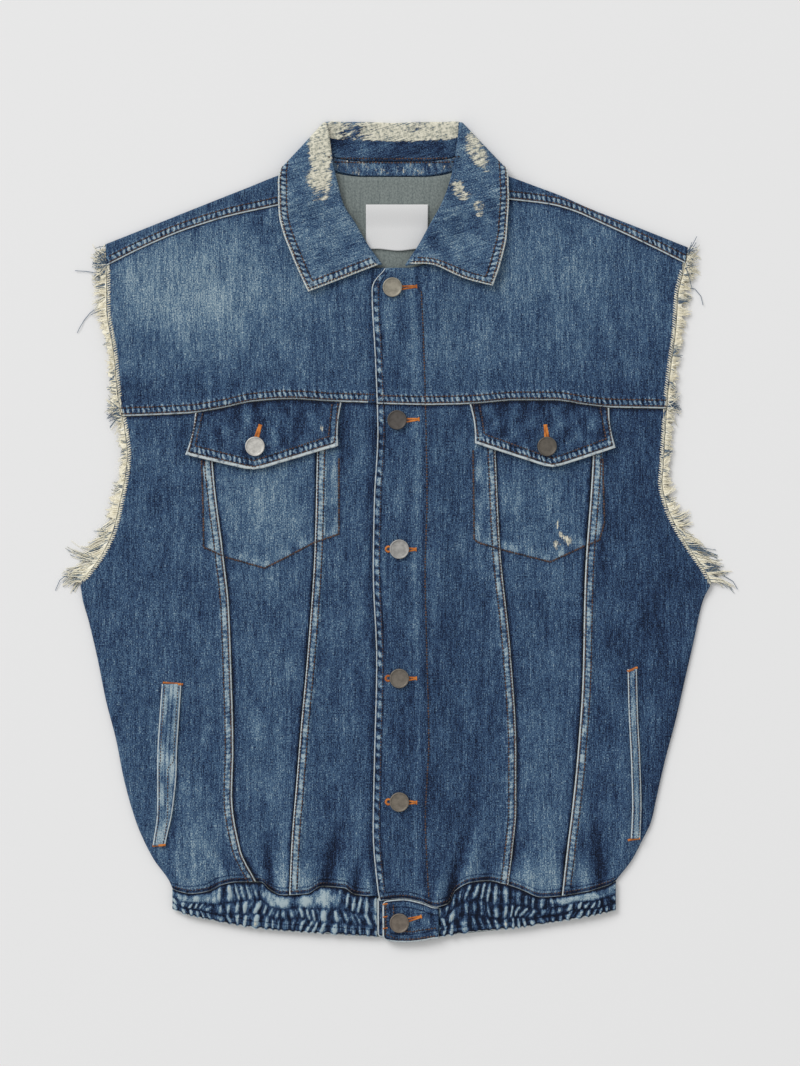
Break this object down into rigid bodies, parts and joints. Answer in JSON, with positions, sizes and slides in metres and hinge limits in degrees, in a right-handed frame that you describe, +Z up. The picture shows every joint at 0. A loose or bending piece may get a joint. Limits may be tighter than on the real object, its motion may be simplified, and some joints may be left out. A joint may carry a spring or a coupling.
{
  "type": "sleeveless denim vest",
  "caption": "Buttoned sleeveless denim vest laid flat on its back, with a turned-down collar, flap pockets, felled seams, a gathered hem band and frayed armholes.",
  "frame": {"origin": "on the flat underside of the back panel, where it lies on the surface, level with the lower edge of the chest pockets", "axes": "+X towards the wearer's left side, +Y towards the collar, +Z up from the surface, out of the front"},
  "size_m": [0.5908, 0.7125, 0.0138],
  "materials": {
    "denim": "washed indigo twill, matt",
    "denim_faded": "worn pale indigo twill, matt",
    "denim_dark": "dark gathered indigo twill, matt",
    "loose_yarn": "unravelled undyed cotton yarn",
    "label_cloth": "plain white woven tape",
    "button_metal": "dull pewter, worn"
  },
  "bodies": {
    "root": {"side_panel_right": "denim", "side_panel_left": "denim", "middle_panel_right": "denim", "middle_panel_left": "denim", "centre_panel_right": "denim", "centre_panel_left": "denim", "back_panel": "denim", "pocket_flap_right": "denim", "pocket_flap_left": "denim", "collar_leaf": "denim", "collar_stand": "denim", "hem_band_back": "denim", "front_yoke_right": "denim_faded", "front_yoke_left": "denim_faded", "pocket_welt_right": "denim_faded", "pocket_welt_left": "denim_faded", "hem_band_right": "denim_dark", "hem_band_left": "denim_dark", "hem_tab_right": "denim_dark", "hem_tab_left": "denim_dark", "fringe_front_right": "loose_yarn", "fringe_front_left": "loose_yarn", "fringe_back_right": "loose_yarn", "fringe_back_left": "loose_yarn", "neck_label": "label_cloth", "button_1": "button_metal", "button_2": "button_metal", "button_3": "button_metal", "button_4": "button_metal", "button_5": "button_metal", "button_6": "button_metal", "flap_button_right": "button_metal", "flap_button_left": "button_metal"}
  },
  "joints": []
}
